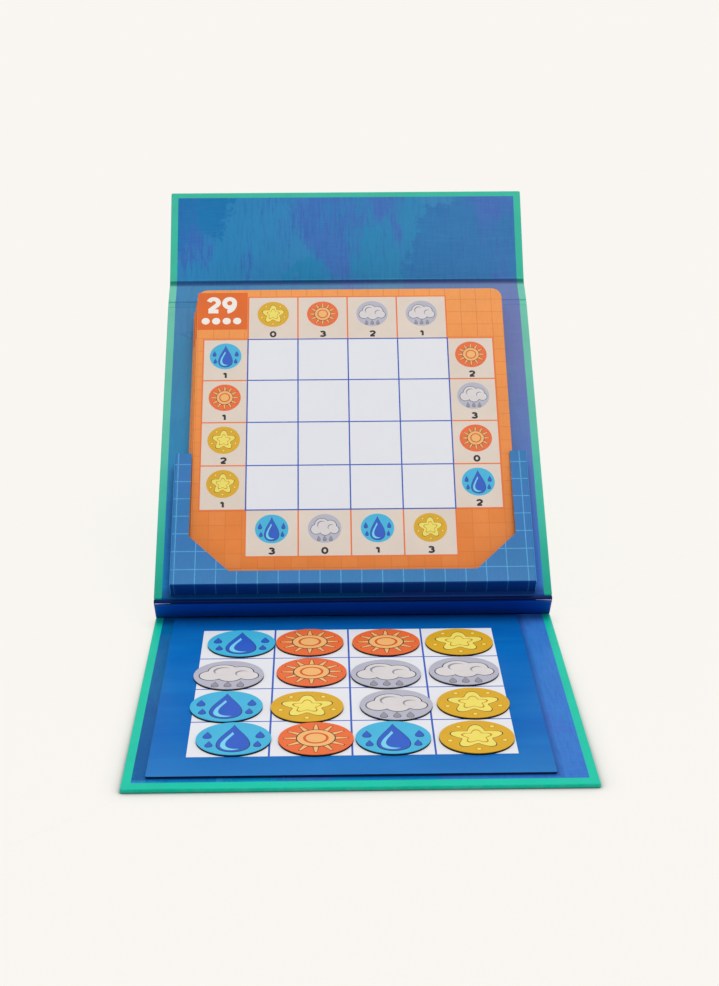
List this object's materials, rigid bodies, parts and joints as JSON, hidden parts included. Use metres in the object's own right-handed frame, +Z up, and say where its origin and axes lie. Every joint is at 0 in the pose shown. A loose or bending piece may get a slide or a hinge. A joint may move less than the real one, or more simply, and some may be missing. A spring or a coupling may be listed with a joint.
{
  "type": "magnetic sudoku game",
  "caption": "Magnetic sudoku travel game: a book-like folding case with a steel game board, round magnetic pieces, a card pocket with puzzle cards and a magnetic closing flap.",
  "frame": {"origin": "centre of the front cover's underside, the face that lies on the table", "axes": "+Z up, X along the creases, the front cover's free edge towards -Y and the raised back cover towards +Y"},
  "size_m": [0.18, 0.3507, 0.1663],
  "materials": {
    "greyboard": "matt grey board",
    "wrap_green": "matt printed paper",
    "lining_blue": "matt printed paper",
    "lining_navy": "matt printed paper",
    "joint_paper": "matt printed paper",
    "flap_magnet": "nickel-plated magnet",
    "sheet_steel": "tin-plated sheet",
    "board_print": "satin printed card",
    "pocket_paper": "satin printed card",
    "card_print": "satin printed card",
    "magnet_sheet": "matt flexible magnet",
    "face_blue": "satin print",
    "face_orange": "satin print",
    "face_grey": "satin print",
    "face_yellow": "satin print"
  },
  "bodies": {
    "front_cover": {"front_cover_board": "greyboard", "front_cover_wrap": "wrap_green", "front_cover_lining": "lining_blue", "game_board_steel": "sheet_steel", "game_board_face": "board_print"},
    "front_spine": {"front_spine_board": "greyboard", "front_spine_wrap": "wrap_green", "front_spine_lining": "lining_navy", "front_crease_joint": "joint_paper"},
    "back_cover": {"back_cover_board": "greyboard", "back_cover_wrap": "wrap_green", "back_cover_lining": "lining_blue", "lower_crease_joint": "joint_paper", "card_pocket": "pocket_paper"},
    "top_spine": {"top_spine_board": "greyboard", "top_spine_wrap": "wrap_green", "top_spine_lining": "lining_blue", "upper_crease_joint": "joint_paper"},
    "closing_flap": {"closing_flap_board": "greyboard", "closing_flap_wrap": "wrap_green", "closing_flap_lining": "lining_blue", "closing_flap_magnets": "flap_magnet", "flap_crease_joint": "joint_paper"},
    "card_stack": {"puzzle_card_stack": "card_print"},
    "second_card": {"puzzle_card_second": "card_print"},
    "front_card": {"puzzle_card_front": "card_print"},
    "blue_piece_1": {"blue_piece_1_magnet": "magnet_sheet", "blue_piece_1_face": "face_blue"},
    "blue_piece_2": {"blue_piece_2_magnet": "magnet_sheet", "blue_piece_2_face": "face_blue"},
    "blue_piece_3": {"blue_piece_3_magnet": "magnet_sheet", "blue_piece_3_face": "face_blue"},
    "blue_piece_4": {"blue_piece_4_magnet": "magnet_sheet", "blue_piece_4_face": "face_blue"},
    "grey_piece_1": {"grey_piece_1_magnet": "magnet_sheet", "grey_piece_1_face": "face_grey"},
    "grey_piece_2": {"grey_piece_2_magnet": "magnet_sheet", "grey_piece_2_face": "face_grey"},
    "grey_piece_3": {"grey_piece_3_magnet": "magnet_sheet", "grey_piece_3_face": "face_grey"},
    "grey_piece_4": {"grey_piece_4_magnet": "magnet_sheet", "grey_piece_4_face": "face_grey"},
    "orange_piece_1": {"orange_piece_1_magnet": "magnet_sheet", "orange_piece_1_face": "face_orange"},
    "orange_piece_2": {"orange_piece_2_magnet": "magnet_sheet", "orange_piece_2_face": "face_orange"},
    "orange_piece_3": {"orange_piece_3_magnet": "magnet_sheet", "orange_piece_3_face": "face_orange"},
    "orange_piece_4": {"orange_piece_4_magnet": "magnet_sheet", "orange_piece_4_face": "face_orange"},
    "yellow_piece_1": {"yellow_piece_1_magnet": "magnet_sheet", "yellow_piece_1_face": "face_yellow"},
    "yellow_piece_2": {"yellow_piece_2_magnet": "magnet_sheet", "yellow_piece_2_face": "face_yellow"},
    "yellow_piece_3": {"yellow_piece_3_magnet": "magnet_sheet", "yellow_piece_3_face": "face_yellow"},
    "yellow_piece_4": {"yellow_piece_4_magnet": "magnet_sheet", "yellow_piece_4_face": "face_yellow"}
  },
  "joints": [
    {"name": "front_spine_fold", "type": "hinge", "parent": "front_cover", "child": "front_spine", "pos_m": [0, 0.0876, 0.0012], "axis": [-1, 0, 0], "range_deg": [-1.76, 40.01]},
    {"name": "back_cover_fold", "type": "hinge", "parent": "front_spine", "child": "back_cover", "pos_m": [0, 0.07834, 0.01223], "axis": [-1, 0, 0], "range_deg": [-183, 8]},
    {"name": "top_spine_fold", "type": "hinge", "parent": "back_cover", "child": "top_spine", "pos_m": [0, 0.21826, 0.11767], "axis": [-1, 0, 0], "range_deg": [-102.5, 67.5]},
    {"name": "closing_flap_fold", "type": "hinge", "parent": "top_spine", "child": "closing_flap", "pos_m": [0, 0.23337, 0.12455], "axis": [-1, 0, 0], "range_deg": [-60.7, 109.3]},
    {"name": "front_card_slide", "type": "slide", "parent": "back_cover", "child": "front_card", "axis": [0, 0.766, 0.6428], "range_m": [-0.0043, 0.075]},
    {"name": "second_card_slide", "type": "slide", "parent": "back_cover", "child": "second_card", "axis": [0, 0.7727, 0.6347], "range_m": [0, 0.075]},
    {"name": "card_stack_slide", "type": "slide", "parent": "back_cover", "child": "card_stack", "axis": [0, 0.7986, 0.6018], "range_m": [0, 0.03]},
    {"name": "blue_piece_1_lift", "type": "slide", "parent": "front_cover", "child": "blue_piece_1", "axis": [0, 0, 1], "range_m": [0, 0.03]},
    {"name": "blue_piece_2_lift", "type": "slide", "parent": "front_cover", "child": "blue_piece_2", "axis": [0, 0, 1], "range_m": [0, 0.03]},
    {"name": "blue_piece_3_lift", "type": "slide", "parent": "front_cover", "child": "blue_piece_3", "axis": [0, 0, 1], "range_m": [0, 0.03]},
    {"name": "blue_piece_4_lift", "type": "slide", "parent": "front_cover", "child": "blue_piece_4", "axis": [0, 0, 1], "range_m": [0, 0.03]},
    {"name": "grey_piece_1_lift", "type": "slide", "parent": "front_cover", "child": "grey_piece_1", "axis": [0, 0, 1], "range_m": [0, 0.03]},
    {"name": "grey_piece_2_lift", "type": "slide", "parent": "front_cover", "child": "grey_piece_2", "axis": [0, 0, 1], "range_m": [0, 0.03]},
    {"name": "grey_piece_3_lift", "type": "slide", "parent": "front_cover", "child": "grey_piece_3", "axis": [0, 0, 1], "range_m": [0, 0.03]},
    {"name": "grey_piece_4_lift", "type": "slide", "parent": "front_cover", "child": "grey_piece_4", "axis": [0, 0, 1], "range_m": [0, 0.03]},
    {"name": "orange_piece_1_lift", "type": "slide", "parent": "front_cover", "child": "orange_piece_1", "axis": [0, 0, 1], "range_m": [0, 0.03]},
    {"name": "orange_piece_2_lift", "type": "slide", "parent": "front_cover", "child": "orange_piece_2", "axis": [0, 0, 1], "range_m": [0, 0.03]},
    {"name": "orange_piece_3_lift", "type": "slide", "parent": "front_cover", "child": "orange_piece_3", "axis": [0, 0, 1], "range_m": [0, 0.03]},
    {"name": "orange_piece_4_lift", "type": "slide", "parent": "front_cover", "child": "orange_piece_4", "axis": [0, 0, 1], "range_m": [0, 0.03]},
    {"name": "yellow_piece_1_lift", "type": "slide", "parent": "front_cover", "child": "yellow_piece_1", "axis": [0, 0, 1], "range_m": [0, 0.03]},
    {"name": "yellow_piece_2_lift", "type": "slide", "parent": "front_cover", "child": "yellow_piece_2", "axis": [0, 0, 1], "range_m": [0, 0.03]},
    {"name": "yellow_piece_3_lift", "type": "slide", "parent": "front_cover", "child": "yellow_piece_3", "axis": [0, 0, 1], "range_m": [0, 0.03]},
    {"name": "yellow_piece_4_lift", "type": "slide", "parent": "front_cover", "child": "yellow_piece_4", "axis": [0, 0, 1], "range_m": [0, 0.03]}
  ],
  "couplings": [
    {"joint": "front_spine_fold", "follows": "back_cover_fold", "ratio": -0.21858}
  ]
}
